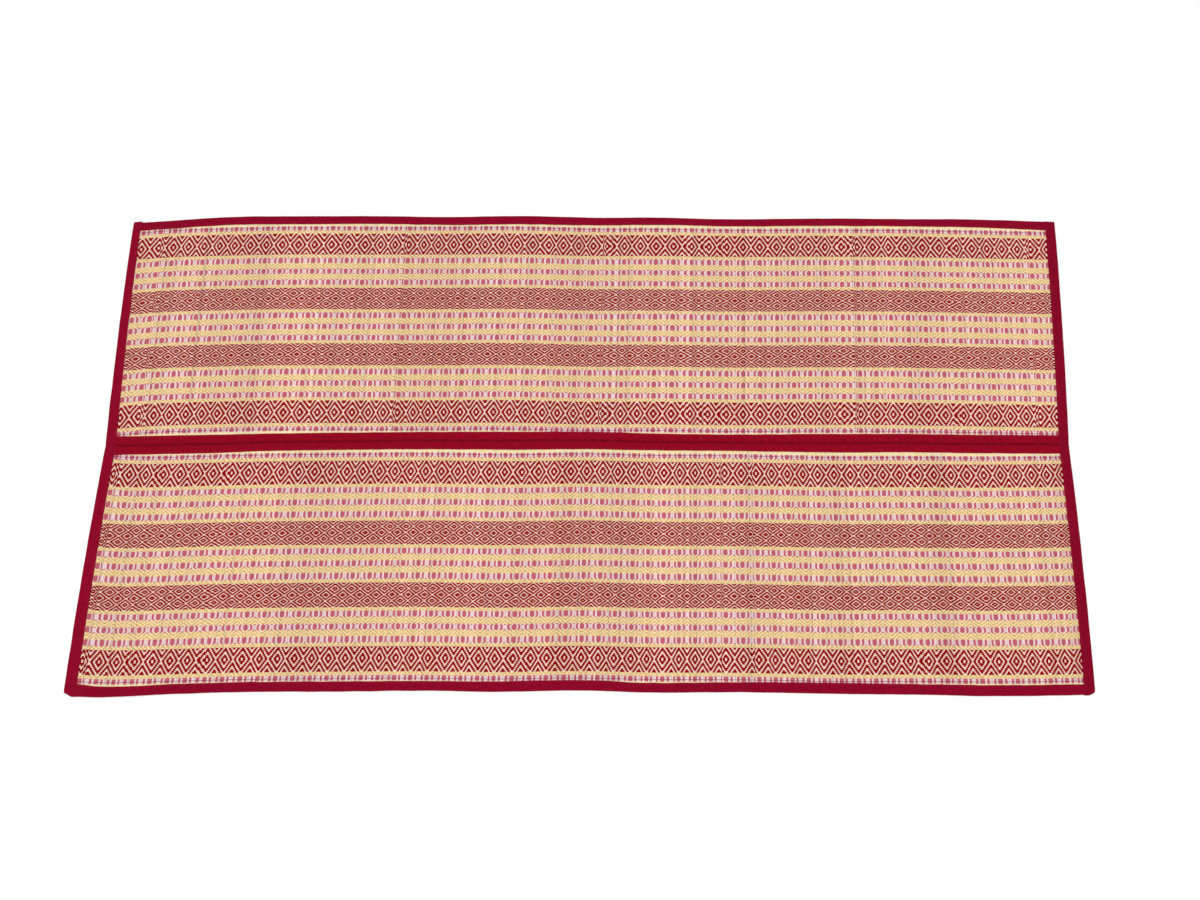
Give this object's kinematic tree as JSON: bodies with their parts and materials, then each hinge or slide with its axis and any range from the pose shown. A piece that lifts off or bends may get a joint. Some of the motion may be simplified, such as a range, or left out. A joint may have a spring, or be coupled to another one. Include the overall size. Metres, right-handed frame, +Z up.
{
  "type": "folding grass floor mat",
  "caption": "Flat rectangular floor mat of striped woven grass, bound in crimson cloth and folding lengthwise along a crimson strip.",
  "frame": {"origin": "on the floor under the middle of the mat's outline", "axes": "+X along the mat, parallel to the crease on which it folds; +Y across it to the far long edge; +Z up from the floor"},
  "size_m": [1.8298, 0.9248, 0.0046],
  "materials": {
    "woven_panel_far": "matt grass stems woven with dyed cotton",
    "woven_panel_near": "matt grass stems woven with dyed cotton",
    "edge_binding_far": "matt dyed cotton cloth",
    "edge_binding_near": "matt dyed cotton cloth",
    "fold_hinge_strip": "matt dyed cotton cloth",
    "end_binding_left": "matt dyed cotton cloth",
    "end_binding_right": "matt dyed cotton cloth"
  },
  "bodies": {
    "root": {"woven_panel_far": "woven_panel_far", "woven_panel_near": "woven_panel_near", "edge_binding_far": "edge_binding_far", "edge_binding_near": "edge_binding_near", "fold_hinge_strip": "fold_hinge_strip", "end_binding_left": "end_binding_left", "end_binding_right": "end_binding_right"}
  },
  "joints": []
}
